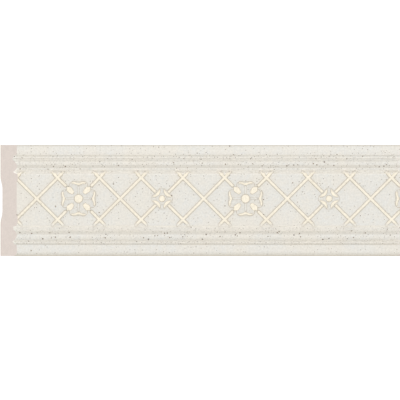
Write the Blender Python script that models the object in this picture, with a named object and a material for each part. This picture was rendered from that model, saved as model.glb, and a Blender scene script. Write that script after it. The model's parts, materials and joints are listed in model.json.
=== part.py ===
"""Wall moulding: a length of foamed frieze with a raised lattice and two kinds of rosette.

The moulding runs along X and stands upright along Z. Its back lies on the wall plane
y = 0 and its face looks along -Y. The origin is on the lower glue strip of the back, at
the middle of the length. The left end is mitred for an outside corner, and the right end
is cut square. Lengths are in metres.
"""

import math

import bmesh
import bpy
from mathutils import Matrix, Vector

# Overall size
LENGTH = 0.360
HEIGHT = 0.100
ORIGIN_HEIGHT = 0.0145
MITRE_ANGLE = math.radians(45)
SPARE_END = 0.030
CUTTER_SIZE = 0.300

# Depths from the wall plane to the parts of the face
BAND_DEPTH = 0.0150
BAND_CAMBER = 0.0002
FIELD_DEPTH = 0.0148
FILLET_DEPTH = 0.0119
QUIRK_DEPTH = 0.0109
BEAD_FOOT_DEPTH = 0.0114
TOP_MARGIN_DEPTH = 0.0120
BOTTOM_MARGIN_DEPTH = 0.0118
BEAD_DEPTH = 0.0150

# Heights above the bottom edge, from the bottom edge up
BOTTOM_ROUND = 0.0016
BOTTOM_BAND_TOP = 0.0100
BOTTOM_FILLET_LOW = 0.0107
BOTTOM_FILLET_HIGH = 0.0125
BOTTOM_BEAD_LOW = 0.0137
BOTTOM_BEAD_CROWN = 0.0189
BOTTOM_BEAD_HIGH = 0.0234
FIELD_EDGE_LOW = 0.0265
FIELD_LOW = 0.0276
FIELD_HIGH = 0.0737
FIELD_EDGE_HIGH = 0.0751
TOP_BEAD_LOW = 0.0763
TOP_BEAD_CROWN = 0.0805
TOP_BEAD_HIGH = 0.0859
TOP_FILLET_LOW = 0.0880
TOP_FILLET_HIGH = 0.0904
TOP_BAND_LOW = 0.0911
TOP_ROUND = 0.0008
QUIRK_STEP = 0.0002
BEAD_FULLNESS = 0.7

# Shallow hollow of the back, between the two glue strips
HOLLOW_LOW = 0.0288
HOLLOW_HIGH = 0.0720
HOLLOW_DEPTH = 0.0018
HOLLOW_FLANK = 0.0120

# Lattice: bars at 45 degrees that cross on a middle line, with a rosette on every second
# crossing, large and small in turn
PITCH = 0.150
NODE_SPACING = PITCH / 4
PATTERN_HEIGHT = 0.0516
FIRST_NODE_FROM_TIP = 0.0329
FIRST_NODE = -1
LAST_NODE = 9
BAR_RELIEF = 0.0010
BAR_STEP = 0.00005
BAR_RADIUS = 0.0026
BAR_FULL_REACH = 0.0210
BAR_FADE_REACH = 0.0234
BAR_FADE_RELIEF = 0.0002
BAR_FADE_SCALE = 0.62
BAR_TIP_REACH = 0.0253
BAR_TIP_RELIEF = -0.0017
BAR_TIP_SCALE = 0.30

# Large rosette: four notched petals with rolled lips, four sepals on the diagonals
LARGE_BAR_START = 0.0166
LARGE_PLATE_RELIEF = 0.0006
PETAL_REACH = 0.0162
PETAL_NOTCH = 0.0156
PETAL_LOBE = 0.0044
PETAL_HALF_WIDTH = 0.0083
PETAL_SHOULDER = 0.0120
PETAL_INNER_CORNER = 0.0084
LIP_RELIEF = 0.0012
LIP_HALF_WIDTH = 0.0063
LIP_OUTER = 0.0154
LIP_NOTCH = 0.0004
LIP_DROOP = 0.0006
LIP_THICKNESS = 0.0031
LIP_END_THICKNESS = 0.0004
RIB_RELIEF = 0.0009
RIB_INNER = 0.0040
RIB_OUTER = 0.0112
RIB_HALF_WIDTH = 0.0010
SEPAL_RELIEF = 0.0011
SEPAL_INNER = 0.0060
SEPAL_WAIST = 0.0092
SEPAL_WIDEST = 0.0125
SEPAL_OUTER = 0.0153
SEPAL_HALF_WIDTH = 0.0029
SEPAL_WAIST_HALF_WIDTH = 0.0018
SEPAL_TIP_HALF_WIDTH = 0.0011
LARGE_BUTTON_RADIUS = 0.0044
LARGE_BUTTON_RELIEF = 0.0017

# Small rosette: an eight-sided ground, four lens-shaped lips on the diagonals, four
# narrow sepals
SMALL_BAR_START = 0.0088
SMALL_PLATE_RELIEF = 0.0005
SMALL_PLATE_REACH = 0.0096
SMALL_PLATE_FLAT = 0.0022
LENS_RELIEF = 0.0011
LENS_OUTER = 0.0073
LENS_THICKNESS = 0.0022
LENS_HALF_LENGTH = 0.0051
LEAF_RELIEF = 0.0009
LEAF_INNER = 0.0052
LEAF_OUTER = 0.0090
LEAF_HALF_WIDTH = 0.0007
SMALL_BUTTON_RADIUS = 0.0033
SMALL_BUTTON_RELIEF = 0.0015

# How far the raised parts are rooted in the body, and how much they narrow to the front
ROOT_DEPTH = 0.0015
DRAFT = 0.86
PLATE_DRAFT = 0.95

CURVE_STEPS = 5
BAR_SIDES = 12
BUTTON_SEGMENTS = 16
BUTTON_RINGS = 8
SHARP_ANGLE = math.radians(30)
FLAT_ANGLE = math.radians(0.5)
BROAD_STRIP = 0.0060
WELD = 0.00001

COATED_FOAM = (0.791, 0.760, 0.694, 1.0)
COATED_FOAM_ROUGHNESS = 0.75

# Turns a shape drawn in X and Y to stand upright in X and Z and face along -Y
UPRIGHT = Matrix.Rotation(math.pi / 2, 4, "X")


def clear_scene():
    for old in list(bpy.data.objects):
        bpy.data.objects.remove(old, do_unlink=True)


def new_collection(name):
    collection = bpy.data.collections.new(name)
    bpy.context.scene.collection.children.link(collection)
    return collection


def move_to(collection, thing):
    for owner in list(thing.users_collection):
        owner.objects.unlink(thing)
    collection.objects.link(thing)


def coated_foam():
    material = bpy.data.materials.new("Coated foam")
    material.diffuse_color = COATED_FOAM
    material.use_nodes = True
    shader = material.node_tree.nodes["Principled BSDF"]
    shader.inputs["Base Color"].default_value = COATED_FOAM
    shader.inputs["Roughness"].default_value = COATED_FOAM_ROUGHNESS
    shader.inputs["Metallic"].default_value = 0.0
    return material


def shade_round(solid):
    solid.data.shade_smooth()
    solid.data.set_sharp_from_angle(angle=SHARP_ANGLE)


def mark_as_guide(guide):
    """Hide a shape that the moulding's modifiers only join or cut."""
    guide.hide_render = True
    guide.display_type = "WIRE"


def mesh_from_curve(curve_object, collection):
    """Replace a curve object by a closed mesh object, its caps welded and in one face."""
    bpy.context.view_layer.update()
    depsgraph = bpy.context.evaluated_depsgraph_get()
    mesh = bpy.data.meshes.new_from_object(curve_object.evaluated_get(depsgraph))
    work = bmesh.new()
    work.from_mesh(mesh)
    bmesh.ops.remove_doubles(work, verts=work.verts, dist=WELD)
    bmesh.ops.dissolve_limit(work, angle_limit=FLAT_ANGLE, verts=work.verts,
                             edges=work.edges)
    bmesh.ops.recalc_face_normals(work, faces=work.faces)
    work.to_mesh(mesh)
    work.free()
    name = curve_object.name
    place = curve_object.matrix_world.copy()
    bpy.data.objects.remove(curve_object, do_unlink=True)
    solid = bpy.data.objects.new(name, mesh)
    solid.matrix_world = place
    collection.objects.link(solid)
    return solid


def flat_outline(name, points, thickness, collection):
    """A slab with the outline of the points, drawn in X and Y, centred on Z."""
    curve = bpy.data.curves.new(name, "CURVE")
    curve.dimensions = "2D"
    curve.fill_mode = "BOTH"
    curve.extrude = thickness / 2
    spline = curve.splines.new("POLY")
    spline.points.add(len(points) - 1)
    for target, (x, y) in zip(spline.points, points):
        target.co = (x, y, 0.0, 1.0)
    spline.use_cyclic_u = True
    slab = bpy.data.objects.new(name, curve)
    collection.objects.link(slab)
    return slab


def eased(start, end, steps=CURVE_STEPS):
    """Points of an S-shaped slope after start, up to and with end."""
    points = []
    for step in range(1, steps + 1):
        share = step / steps
        blend = (1 - math.cos(math.pi * share)) / 2
        points.append((start[0] + (end[0] - start[0]) * blend,
                       start[1] + (end[1] - start[1]) * share))
    return points


def rounded_corner(centre, radius, start_angle, end_angle, steps=3):
    points = []
    for step in range(steps + 1):
        angle = start_angle + (end_angle - start_angle) * step / steps
        points.append((centre[0] + radius * math.cos(angle),
                       centre[1] + radius * math.sin(angle)))
    return points


def half_bead(foot_depth, foot, crown, steps=5):
    """Points of a full rounded side that climbs from its foot to the bead's crown."""
    points = []
    for step in range(steps + 1):
        share = step / steps
        swell = math.sin(math.pi / 2 * share) ** BEAD_FULLNESS
        points.append((foot_depth + (BEAD_DEPTH - foot_depth) * swell,
                       foot + (crown - foot) * share))
    return points


def bead(foot_low, foot_high, low, crown, high):
    """A bead that rises from one floor depth to its crown and falls to the other."""
    return half_bead(foot_low, low, crown) + half_bead(foot_high, high, crown)[-2::-1]


def section_outline():
    """The moulding's section as (depth, height) points, bottom back corner first."""
    outline = [(0.0, 0.0)]
    outline += rounded_corner((BAND_DEPTH - BOTTOM_ROUND, BOTTOM_ROUND), BOTTOM_ROUND,
                              -math.pi / 2, 0.0)
    outline.append((BAND_DEPTH - BAND_CAMBER, BOTTOM_BAND_TOP))
    outline.append((FILLET_DEPTH, BOTTOM_FILLET_LOW))
    outline.append((FILLET_DEPTH, BOTTOM_FILLET_HIGH))
    outline.append((QUIRK_DEPTH, BOTTOM_FILLET_HIGH + QUIRK_STEP))
    outline += bead(BEAD_FOOT_DEPTH, BOTTOM_MARGIN_DEPTH, BOTTOM_BEAD_LOW,
                    BOTTOM_BEAD_CROWN, BOTTOM_BEAD_HIGH)
    outline.append((BOTTOM_MARGIN_DEPTH, FIELD_EDGE_LOW))
    outline += eased((BOTTOM_MARGIN_DEPTH, FIELD_EDGE_LOW), (FIELD_DEPTH, FIELD_LOW))
    outline.append((FIELD_DEPTH, FIELD_HIGH))
    outline += eased((FIELD_DEPTH, FIELD_HIGH), (TOP_MARGIN_DEPTH, FIELD_EDGE_HIGH))
    outline += bead(TOP_MARGIN_DEPTH, BEAD_FOOT_DEPTH, TOP_BEAD_LOW, TOP_BEAD_CROWN,
                    TOP_BEAD_HIGH)
    outline.append((QUIRK_DEPTH, TOP_FILLET_LOW - QUIRK_STEP))
    outline.append((FILLET_DEPTH, TOP_FILLET_LOW))
    outline.append((FILLET_DEPTH, TOP_FILLET_HIGH))
    outline.append((BAND_DEPTH - BAND_CAMBER, TOP_BAND_LOW))
    outline += rounded_corner((BAND_DEPTH - TOP_ROUND, HEIGHT - TOP_ROUND), TOP_ROUND,
                              0.0, math.pi / 2)
    outline.append((0.0, HEIGHT))
    outline.append((0.0, HOLLOW_HIGH))
    outline += eased((0.0, HOLLOW_HIGH), (HOLLOW_DEPTH, HOLLOW_HIGH - HOLLOW_FLANK))
    outline.append((HOLLOW_DEPTH, HOLLOW_LOW + HOLLOW_FLANK))
    outline += eased((HOLLOW_DEPTH, HOLLOW_LOW + HOLLOW_FLANK), (0.0, HOLLOW_LOW))
    return outline


def moulding_body(collection):
    """The plain run: the section drawn along X, longer than the piece at both ends."""
    points = [(depth, height - ORIGIN_HEIGHT) for depth, height in section_outline()]
    run = flat_outline("moulding", points, LENGTH + 2 * SPARE_END, collection)
    depth_axis = Vector((0.0, -1.0, 0.0))
    height_axis = Vector((0.0, 0.0, 1.0))
    length_axis = depth_axis.cross(height_axis)
    run.matrix_world = Matrix((depth_axis, height_axis, length_axis)).transposed().to_4x4()
    return mesh_from_curve(run, collection)


def shade_run(run):
    """Smooth the rounded strips, and keep the broad flat ones and the ends flat."""
    shade_round(run)
    run_length = LENGTH + 2 * SPARE_END
    for face in run.data.polygons:
        lies_across = abs(face.normal.z) > math.cos(SHARP_ANGLE)
        if lies_across or face.area > BROAD_STRIP * run_length:
            face.use_smooth = False


def raised_shape(name, points, centre, turn, relief, draft, collection):
    """A flat ornament rooted in the field, its front narrower than its back.

    The points are drawn about the rosette's centre with the ornament's axis along Y, and
    turn swings them round that centre.
    """
    thickness = ROOT_DEPTH + relief
    slab = flat_outline(name, points, thickness, collection)
    middle = Vector((0.0, sum(point[1] for point in points) / len(points)))
    slab.matrix_world = (
        Matrix.Translation((centre.x, -(FIELD_DEPTH + relief - thickness / 2), centre.z))
        @ UPRIGHT
        @ Matrix.Rotation(turn, 4, "Z"))
    solid = mesh_from_curve(slab, collection)
    for vertex in solid.data.vertices:
        if vertex.co.z > 0:
            shrunk = middle + (vertex.co.xy - middle) * draft
            vertex.co.x = shrunk.x
            vertex.co.y = shrunk.y
    mark_as_guide(solid)


def mirrored(half):
    """Close a half outline, drawn on the right from the axis at the top to the bottom."""
    left = [(-x, y) for x, y in reversed(half) if x > WELD]
    return half + left


def petal_ground_outline():
    """The ground of the large rosette: four notched petals that meet on the diagonals."""
    lobe = [(0.0, PETAL_NOTCH),
            (PETAL_LOBE / 2, (PETAL_NOTCH + PETAL_REACH) / 2),
            (PETAL_LOBE, PETAL_REACH)]
    corner_radius = PETAL_HALF_WIDTH - PETAL_LOBE
    for step in range(1, 4):
        angle = math.pi / 2 * (1 - step / 4)
        lobe.append((PETAL_LOBE + corner_radius * math.cos(angle),
                     PETAL_REACH - corner_radius + corner_radius * math.sin(angle)))
    lobe.append((PETAL_HALF_WIDTH, PETAL_SHOULDER))
    outline = []
    for quarter in range(4):
        turn = Matrix.Rotation(-quarter * math.pi / 2, 2)
        left = [Vector((-x, y)) for x, y in reversed(lobe[1:])]
        right = [Vector(point) for point in lobe]
        inner_corner = [Vector((PETAL_INNER_CORNER, PETAL_INNER_CORNER))]
        outline += [tuple(turn @ point) for point in left + right + inner_corner]
    return outline


def lip_outline(steps=4):
    """The rolled lip of a petal: thick in the middle and thin at its ends."""
    outer = []
    inner = []
    for step in range(steps + 1):
        share = step / steps
        swell = (1 + math.cos(math.pi * share)) / 2
        y = LIP_OUTER - LIP_NOTCH * swell - LIP_DROOP * share ** 4
        thickness = LIP_END_THICKNESS + (LIP_THICKNESS - LIP_END_THICKNESS) * swell
        outer.append((LIP_HALF_WIDTH * share, y))
        inner.append((LIP_HALF_WIDTH * share, y - thickness))
    return mirrored(outer + inner[::-1])


def sepal_outline():
    """A sepal of the large rosette: narrow inside, broad and pointed outside."""
    return mirrored([(0.0, SEPAL_OUTER),
                     (SEPAL_HALF_WIDTH, SEPAL_WIDEST),
                     (SEPAL_WAIST_HALF_WIDTH, SEPAL_WAIST),
                     (SEPAL_TIP_HALF_WIDTH, SEPAL_INNER + SEPAL_TIP_HALF_WIDTH / 2),
                     (0.0, SEPAL_INNER)])


def rib_outline():
    return mirrored([(0.0, RIB_OUTER),
                     (RIB_HALF_WIDTH, RIB_OUTER - RIB_HALF_WIDTH / 2),
                     (RIB_HALF_WIDTH / 2, RIB_INNER),
                     (0.0, RIB_INNER)])


def small_ground_outline():
    reach = SMALL_PLATE_REACH
    flat = SMALL_PLATE_FLAT
    return [(flat, reach), (reach, flat), (reach, -flat), (flat, -reach),
            (-flat, -reach), (-reach, -flat), (-reach, flat), (-flat, reach)]


def lens_outline():
    """A lip of the small rosette: straight outside, bowed towards the centre."""
    points = [(LENS_HALF_LENGTH, LENS_OUTER)]
    for step in range(1, CURVE_STEPS + 1):
        share = step / CURVE_STEPS
        points.append((LENS_HALF_LENGTH * (1 - 2 * share),
                       LENS_OUTER - LENS_THICKNESS * math.sin(math.pi * share)))
    return points


def leaf_outline():
    return mirrored([(0.0, LEAF_OUTER),
                     (LEAF_HALF_WIDTH, (LEAF_OUTER + LEAF_INNER) / 2),
                     (0.0, LEAF_INNER)])


def button(name, centre, radius, relief, collection):
    """The round boss of a rosette, a flattened ball sunk to its middle in the face."""
    bpy.ops.mesh.primitive_uv_sphere_add(segments=BUTTON_SEGMENTS, ring_count=BUTTON_RINGS,
                                         radius=1.0)
    ball = bpy.context.active_object
    ball.name = name
    move_to(collection, ball)
    height = relief + ROOT_DEPTH / 2
    ball.data.transform(Matrix.Rotation(math.pi / 2, 4, "X"))
    ball.data.transform(Matrix.Diagonal((radius, height, radius, 1.0)))
    ball.location = (centre.x, -(FIELD_DEPTH + relief - height), centre.z)
    shade_round(ball)
    mark_as_guide(ball)


def bar(name, stations, collection):
    """A half-round bar of the lattice, a tube sunk in the field along its stations."""
    curve = bpy.data.curves.new(name, "CURVE")
    curve.dimensions = "3D"
    curve.fill_mode = "FULL"
    curve.bevel_depth = BAR_RADIUS
    curve.bevel_resolution = (BAR_SIDES - 4) // 2
    curve.use_fill_caps = True
    spline = curve.splines.new("POLY")
    spline.points.add(len(stations) - 1)
    for target, (place, crown, scale) in zip(spline.points, stations):
        depth = FIELD_DEPTH + crown - BAR_RADIUS * scale
        target.co = (place.x, -depth, place.z, 1.0)
        target.radius = scale
    tube = bpy.data.objects.new(name, curve)
    collection.objects.link(tube)
    solid = mesh_from_curve(tube, collection)
    shade_round(solid)
    mark_as_guide(solid)


def bar_relief(side, rise):
    """The bars that rise to the right stand a hair over the ones that they cross."""
    return BAR_RELIEF + (BAR_STEP if side == rise else 0.0)


def arm_stations(centre, side, rise):
    """The outer part of a bar, from full height to its tip in the margin."""
    stations = []
    for reach, crown, scale in ((BAR_FULL_REACH, bar_relief(side, rise), 1.0),
                                (BAR_FADE_REACH, BAR_FADE_RELIEF, BAR_FADE_SCALE),
                                (BAR_TIP_REACH, BAR_TIP_RELIEF, BAR_TIP_SCALE)):
        place = centre + Vector((side * reach, 0.0, rise * reach))
        stations.append((place, crown, scale))
    return stations


def plain_crossing(index, centre, collection):
    for side in (1, -1):
        low = arm_stations(centre, -side, -1)
        high = arm_stations(centre, side, 1)
        bar(f"bar_{index}_{side}", list(reversed(low)) + high, collection)


def broken_crossing(index, centre, start, collection):
    """Four arms that stop at the edge of a rosette."""
    offset = start / math.sqrt(2)
    for side in (1, -1):
        for rise in (1, -1):
            first = centre + Vector((side * offset, 0.0, rise * offset))
            stations = [(first, bar_relief(side, rise), 1.0)]
            stations += arm_stations(centre, side, rise)
            bar(f"arm_{index}_{side}_{rise}", stations, collection)


def large_rosette(index, centre, collection):
    raised_shape(f"petal_ground_{index}", petal_ground_outline(), centre, 0.0,
                 LARGE_PLATE_RELIEF, PLATE_DRAFT, collection)
    for quarter in range(4):
        turn = quarter * math.pi / 2
        raised_shape(f"lip_{index}_{quarter}", lip_outline(), centre, turn,
                     LIP_RELIEF, DRAFT, collection)
        raised_shape(f"rib_{index}_{quarter}", rib_outline(), centre, turn,
                     RIB_RELIEF, DRAFT, collection)
        raised_shape(f"sepal_{index}_{quarter}", sepal_outline(), centre,
                     turn + math.pi / 4, SEPAL_RELIEF, DRAFT, collection)
    button(f"button_{index}", centre, LARGE_BUTTON_RADIUS, LARGE_BUTTON_RELIEF, collection)


def small_rosette(index, centre, collection):
    raised_shape(f"small_ground_{index}", small_ground_outline(), centre, 0.0,
                 SMALL_PLATE_RELIEF, PLATE_DRAFT, collection)
    for quarter in range(4):
        turn = quarter * math.pi / 2
        raised_shape(f"lens_{index}_{quarter}", lens_outline(), centre,
                     turn + math.pi / 4, LENS_RELIEF, DRAFT, collection)
        raised_shape(f"leaf_{index}_{quarter}", leaf_outline(), centre, turn,
                     LEAF_RELIEF, DRAFT, collection)
    button(f"button_{index}", centre, SMALL_BUTTON_RADIUS, SMALL_BUTTON_RELIEF, collection)


def relief(collection):
    """Every raised ornament of the face, node by node along the middle line."""
    tip = -LENGTH / 2
    for index in range(FIRST_NODE, LAST_NODE + 1):
        x = tip + FIRST_NODE_FROM_TIP + index * NODE_SPACING
        centre = Vector((x, 0.0, PATTERN_HEIGHT - ORIGIN_HEIGHT))
        place_in_repeat = index % 4
        if place_in_repeat == 1:
            broken_crossing(index, centre, LARGE_BAR_START, collection)
            large_rosette(index, centre, collection)
        elif place_in_repeat == 3:
            broken_crossing(index, centre, SMALL_BAR_START, collection)
            small_rosette(index, centre, collection)
        else:
            plain_crossing(index, centre, collection)


def end_cutter(name, corner, turn, side, collection):
    """A block whose inner face stands on the corner, turned about the upright."""
    bpy.ops.mesh.primitive_cube_add(size=CUTTER_SIZE)
    block = bpy.context.active_object
    block.name = name
    move_to(collection, block)
    block.data.transform(Matrix.Translation((side * CUTTER_SIZE / 2, 0.0, 0.0)))
    block.location = corner
    block.rotation_euler = (0.0, 0.0, turn)
    mark_as_guide(block)
    return block


def add_boolean(target, name, operation):
    modifier = target.modifiers.new(name, "BOOLEAN")
    modifier.operation = operation
    modifier.solver = "EXACT"
    return modifier


def build():
    clear_scene()
    parts = new_collection("Wall moulding")
    ornament = new_collection("Raised ornament")
    cutters = new_collection("Cutters")

    moulding = moulding_body(parts)
    shade_run(moulding)
    moulding.data.materials.append(coated_foam())

    relief(ornament)
    union = add_boolean(moulding, "Ornament", "UNION")
    union.operand_type = "COLLECTION"
    union.collection = ornament

    left_corner = Vector((-LENGTH / 2, 0.0, 0.0))
    right_corner = Vector((LENGTH / 2, 0.0, 0.0))
    for name, corner, turn, side in (("Mitre", left_corner, MITRE_ANGLE, -1),
                                     ("Square end", right_corner, 0.0, 1)):
        cut = add_boolean(moulding, name, "DIFFERENCE")
        cut.object = end_cutter(name, corner, turn, side, cutters)


build()
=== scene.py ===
"""Wall moulding: the finished surface of the frieze, its lattice, rosettes and speckled coat.

The moulding runs along X, stands upright along Z and faces -Y, with its back on y = 0.
The plain run, the bars and the two rosettes are modelled one by one, joined into one closed
body and cut at the ends. Lengths are in metres.
"""

import json
import math
from contextlib import contextmanager
from types import SimpleNamespace

import bmesh
import bpy
from bpy.props import FloatProperty, FloatVectorProperty, PointerProperty
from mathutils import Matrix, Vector

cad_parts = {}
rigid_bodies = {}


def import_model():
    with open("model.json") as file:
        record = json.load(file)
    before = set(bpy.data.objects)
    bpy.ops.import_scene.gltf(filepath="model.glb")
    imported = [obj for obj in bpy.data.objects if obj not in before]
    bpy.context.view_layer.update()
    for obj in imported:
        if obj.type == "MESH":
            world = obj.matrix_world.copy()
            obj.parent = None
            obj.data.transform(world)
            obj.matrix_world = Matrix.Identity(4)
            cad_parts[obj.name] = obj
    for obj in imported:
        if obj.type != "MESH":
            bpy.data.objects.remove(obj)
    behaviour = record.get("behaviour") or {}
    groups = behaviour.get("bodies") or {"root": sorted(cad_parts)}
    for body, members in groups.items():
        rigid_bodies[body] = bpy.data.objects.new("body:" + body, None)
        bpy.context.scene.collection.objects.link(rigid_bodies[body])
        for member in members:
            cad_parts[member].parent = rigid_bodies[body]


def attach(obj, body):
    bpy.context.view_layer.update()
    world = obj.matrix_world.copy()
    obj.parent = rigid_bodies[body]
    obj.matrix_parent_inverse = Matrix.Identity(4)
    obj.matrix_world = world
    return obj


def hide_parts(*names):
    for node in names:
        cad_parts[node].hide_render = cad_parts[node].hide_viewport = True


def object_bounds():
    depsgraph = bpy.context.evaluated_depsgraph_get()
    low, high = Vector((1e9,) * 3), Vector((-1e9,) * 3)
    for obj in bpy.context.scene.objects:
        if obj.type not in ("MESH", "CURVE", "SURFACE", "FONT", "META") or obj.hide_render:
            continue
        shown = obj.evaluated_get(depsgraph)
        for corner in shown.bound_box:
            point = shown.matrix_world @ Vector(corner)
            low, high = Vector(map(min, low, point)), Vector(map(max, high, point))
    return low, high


bl_info = {
    "name": "Wall Moulding",
    "version": (1, 0, 0),
    "blender": (4, 5, 0),
    "location": "View3D > Sidebar > Moulding",
    "description": "A coated foam frieze with a raised lattice and two kinds of rosette",
    "category": "Add Mesh",
}

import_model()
CAD_LOW, CAD_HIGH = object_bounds()

SPARE_END = 0.030
ROOT_DEPTH = 0.0013
FOOT_SINK = 0.00003
WELD = 0.000001
CREST = 0.00004
LEAST_CROWN = 0.0001
LEAST_RISE = 0.1
LEAST_WIDTH = 0.04
SOFTENED_ANGLE = math.radians(25)
SMOOTH_ANGLE = math.radians(30)
FACING_WALL = 0.3

# Nodes of the lattice are counted from the left, and the pattern repeats every four.
FIRST_NODE = -1
LAST_NODE = 9
NODES_IN_REPEAT = 4
CROSSING_PLACES = (0, 2)
LARGE_PLACE = 1
SMALL_PLACE = 3
FOAM_SLOT = 1
CIRCLE_CORNERS = 40

# Bands of the coat along the run: lower edge, upper edge and strength. These heights and
# those of the arrises and tips are above the bottom edge, and every edge is soft.
# Painted shade: darker grey in the lower fillet beside the band's step and near the crowns of
# both beads.
GREY_SHADE_BANDS = ((0.0110, 0.0114, 0.50), (0.0198, 0.0221, 0.60), (0.0794, 0.0816, 0.72))
# Painted light: a paler coat that lifts the shade of the margins, slopes and grooves along
# the run.
PAINTED_LIGHT_BANDS = ((0.0119, 0.0126, 0.54), (0.0126, 0.0143, 0.68), (0.0155, 0.0187, 0.14),
              (0.0227, 0.0231, 0.52), (0.0233, 0.0259, 0.34), (0.0262, 0.0272, 0.95),
              (0.0738, 0.0772, 0.60), (0.0783, 0.0788, 0.26), (0.0838, 0.0857, 0.30),
              (0.0857, 0.0872, 0.18), (0.0874, 0.0878, 0.32), (0.0883, 0.0888, 0.56),
              (0.0900, 0.0912, 0.34), (0.0940, 0.0977, 0.12))
# Painted light on the upper margin between the bars' tips, lifting the shade there.
LIT_PATCH_BANDS = ((0.0741, 0.0774, 1.0), (0.0774, 0.0784, 0.40))
BAND_SOFTNESS = 0.0007
# Painted shade on the rounded arrises of the top and bottom edges.
TOP_ARRIS = (0.0984, 0.0992)
BOTTOM_ARRIS = (0.0045, 0.0002)
# Painted shade under the bottom edge, darkest at the very bottom.
UNDER_EDGE = (0.0011, 0.0003)
LOW_TIPS = (0.0275, 0.0305)

# Sideways from the point where two bars cross near a margin.
LIT_PATCH_ENDS = (0.0050, 0.0085)

# Up or down from the middle line of the field.
FIELD_MIDDLE = 0.05165
TIPS_BEGIN = (0.0212, 0.0229)
MOULDINGS_BEGIN = (0.0255, 0.0268)
MOULDINGS_END = (0.0405, 0.0418)

# Heights over the plain run where the brown wash and painted shade, the painted shade of the
# dishes or the cream comes in or fades.
ORNAMENT_BEGINS = (0.00002, 0.00010)
FOOT_ENDS = (0.00016, 0.00028)
DISH_BEGINS = (0.00020, 0.00030)
DISH_ENDS = (0.00037, 0.00041)
CROWN_BEGINS = (0.00074, 0.00086)

# Slopes: 0 where the surface looks straight out from the wall, 1 where it is square to it.
SIDE_BEGINS = (0.06, 0.36)
# Where the painted shade on the ornament's sides eases off, as the steepest sides shade
# themselves.
SIDE_STEEPEST = (0.38, 0.52)
LEVEL_ENDS = (0.10, 0.34)

# Layers of specks: cells in a metre, share of cells with a speck on the field and on the
# mouldings, smallest and largest radius as a share of a cell, and strength.
SPECK_LAYERS = ((230.0, 0.06, 0.92, 0.09, 0.18, 1.0), (420.0, 0.42, 1.00, 0.10, 0.20, 0.65),
                (590.0, 0.10, 0.90, 0.12, 0.24, 0.5))


def length(name, description, default):
    return FloatProperty(name=name, description=description, default=default,
                         unit="LENGTH", precision=5)


def fraction(name, description, default):
    return FloatProperty(name=name, description=description, default=default,
                         subtype="FACTOR", min=0.0, max=1.0)


def colour(name, description, default):
    return FloatVectorProperty(name=name, description=description, default=default,
                               subtype="COLOR", size=3, min=0.0, max=1.0)


class RunSizes(bpy.types.PropertyGroup):
    """Heights above the bottom edge and depths from the wall of the plain run."""

    long: length("Length", "Length at the back", CAD_HIGH.x - CAD_LOW.x)
    high: length("Height", "Height of the face", CAD_HIGH.z - CAD_LOW.z)
    band_depth: length("Band depth", "Wall to the crown of both outer bands", 0.0150)
    band_camber: length("Band camber", "Fall of a band towards its inner edge", 0.0002)
    bottom_round: length("Bottom round", "Radius of the lower front arris", 0.0038)
    top_round: length("Top round", "Radius of the upper front arris", 0.0012)
    bottom_band: length("Bottom band top", "Upper edge of the lower band", 0.0100)
    bottom_fillet_low: length("Bottom fillet low", "Foot of the lower band", 0.0107)
    bottom_fillet_high: length("Bottom fillet high", "Edge of the lower quirk", 0.0125)
    bottom_bead_low: length("Bottom bead low", "Lower foot of the lower bead", 0.0137)
    bottom_bead_crown: length("Bottom bead crown", "Crown of the lower bead", 0.0189)
    bottom_bead_high: length("Bottom bead high", "Upper foot of the lower bead", 0.0234)
    bottom_margin_depth: length("Bottom margin depth", "Wall to the lower margin", 0.0118)
    field_edge_low: length("Field edge low", "Lower foot of the field's slope", 0.0265)
    field_low: length("Field low", "Lower edge of the flat field", 0.0276)
    field_high: length("Field high", "Upper edge of the flat field", 0.0737)
    field_edge_high: length("Field edge high", "Upper foot of the field's slope", 0.0751)
    field_depth: length("Field depth", "Wall to the flat field", 0.0148)
    top_margin_depth: length("Top margin depth", "Wall to the upper margin", 0.0120)
    top_bead_low: length("Top bead low", "Lower foot of the upper bead", 0.0763)
    top_bead_crown: length("Top bead crown", "Crown of the upper bead", 0.0805)
    top_bead_high: length("Top bead high", "Upper foot of the upper bead", 0.0859)
    top_fillet_low: length("Top fillet low", "Edge of the upper quirk", 0.0880)
    top_fillet_high: length("Top fillet high", "Foot of the upper band", 0.0904)
    top_band: length("Top band low", "Lower edge of the upper band", 0.0911)
    fillet_depth: length("Fillet depth", "Wall to both fillets", 0.0119)
    quirk_depth: length("Quirk depth", "Wall to the sharp quirk beside a fillet", 0.0109)
    quirk_step: length("Quirk step", "Height of the wall between them", 0.0002)
    bead_foot_depth: length("Bead foot depth", "Wall to a bead's outer foot", 0.0114)
    bead_depth: length("Bead depth", "Wall to the crown of the beads", 0.0150)
    bead_fullness: fraction("Bead fullness", "Lower values fill out a bead's sides", 0.7)
    hollow_low: length("Hollow low", "Lower edge of the hollow of the back", 0.0288)
    hollow_high: length("Hollow high", "Upper edge of the hollow of the back", 0.0720)
    hollow_depth: length("Hollow depth", "How deep the back is hollowed", 0.0018)
    hollow_flank: length("Hollow flank", "Height of each sloping flank", 0.0120)
    softening: length("Softening", "Width of the softened arrises", 0.00025)


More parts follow.
